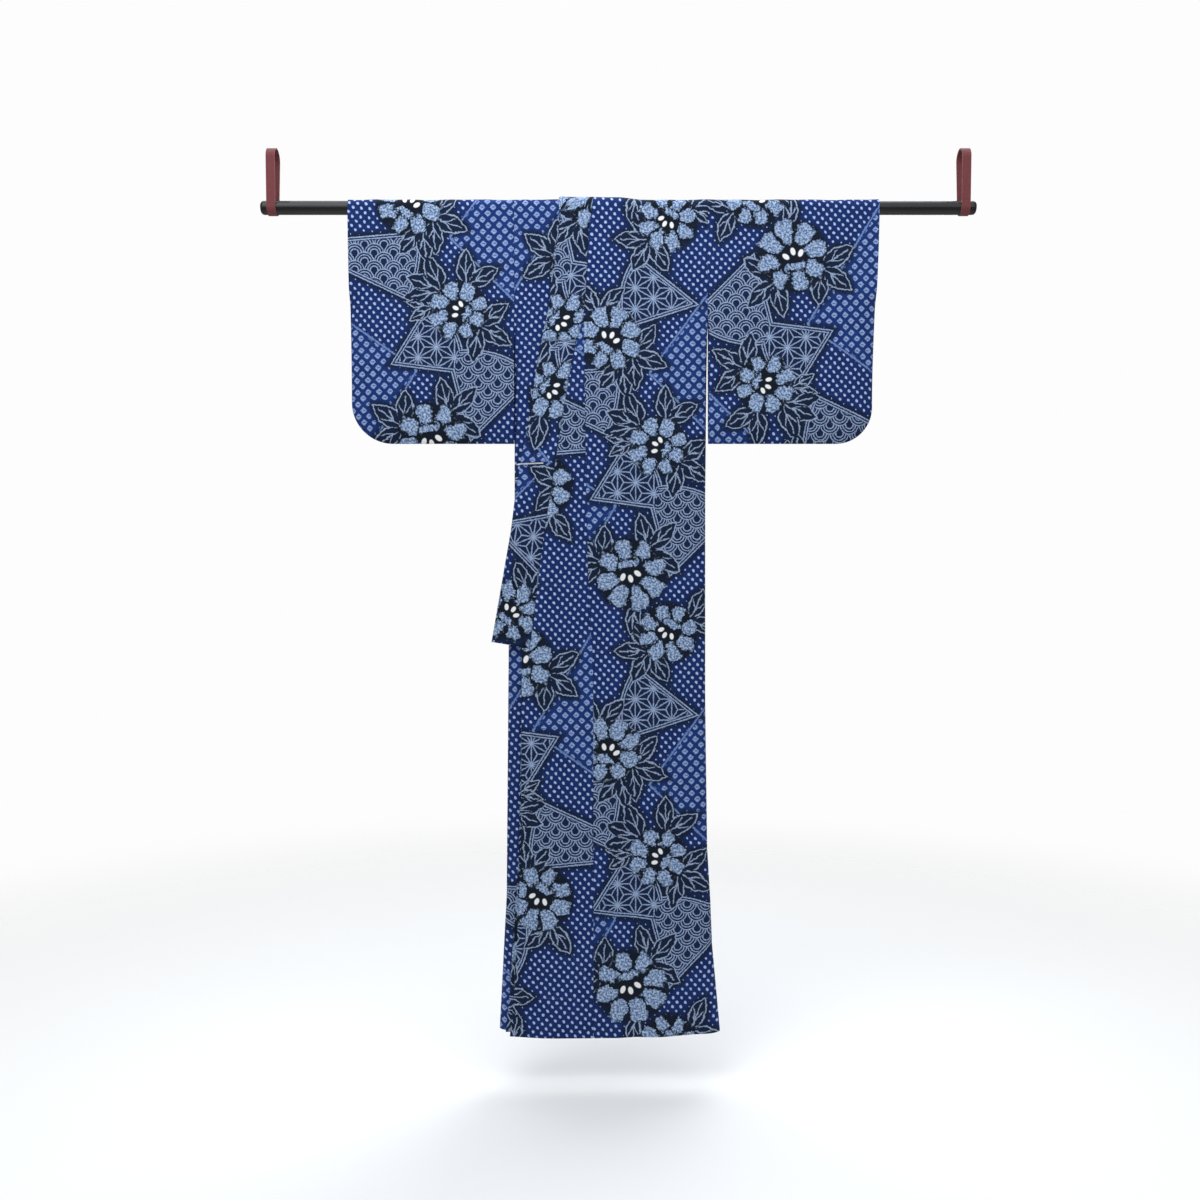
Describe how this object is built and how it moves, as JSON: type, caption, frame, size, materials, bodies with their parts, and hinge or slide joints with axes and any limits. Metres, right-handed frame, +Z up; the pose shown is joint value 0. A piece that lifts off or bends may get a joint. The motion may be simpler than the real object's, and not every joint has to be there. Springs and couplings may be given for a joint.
{
  "type": "cotton yukata robe on a hanging rod",
  "caption": "Printed cotton yukata robe hung flat over a lacquered rod, its sleeves spread and its right half folded under the left.",
  "frame": {"origin": "on the axis of the bar that carries the two strap loops, midway between the loops", "axes": "+Z up, +X along the rod towards the wearer's left sleeve, -Y towards the front of the robe"},
  "size_m": [1.468, 0.0588, 1.8185],
  "materials": {
    "printed_cotton": "matt plain-weave cotton, navy ground with pale resist-dyed flowers, leaves and small geometric fillings",
    "black_lacquer": "glossy black lacquer on turned wood",
    "red_strap": "dark red woven strap"
  },
  "bodies": {
    "root": {"body_left": "printed_cotton", "body_right": "printed_cotton", "okumi_left": "printed_cotton", "okumi_right": "printed_cotton", "collar": "printed_cotton", "sleeve_left": "printed_cotton", "sleeve_right": "printed_cotton", "rod": "black_lacquer", "strap_left": "red_strap", "strap_right": "red_strap"}
  },
  "joints": []
}
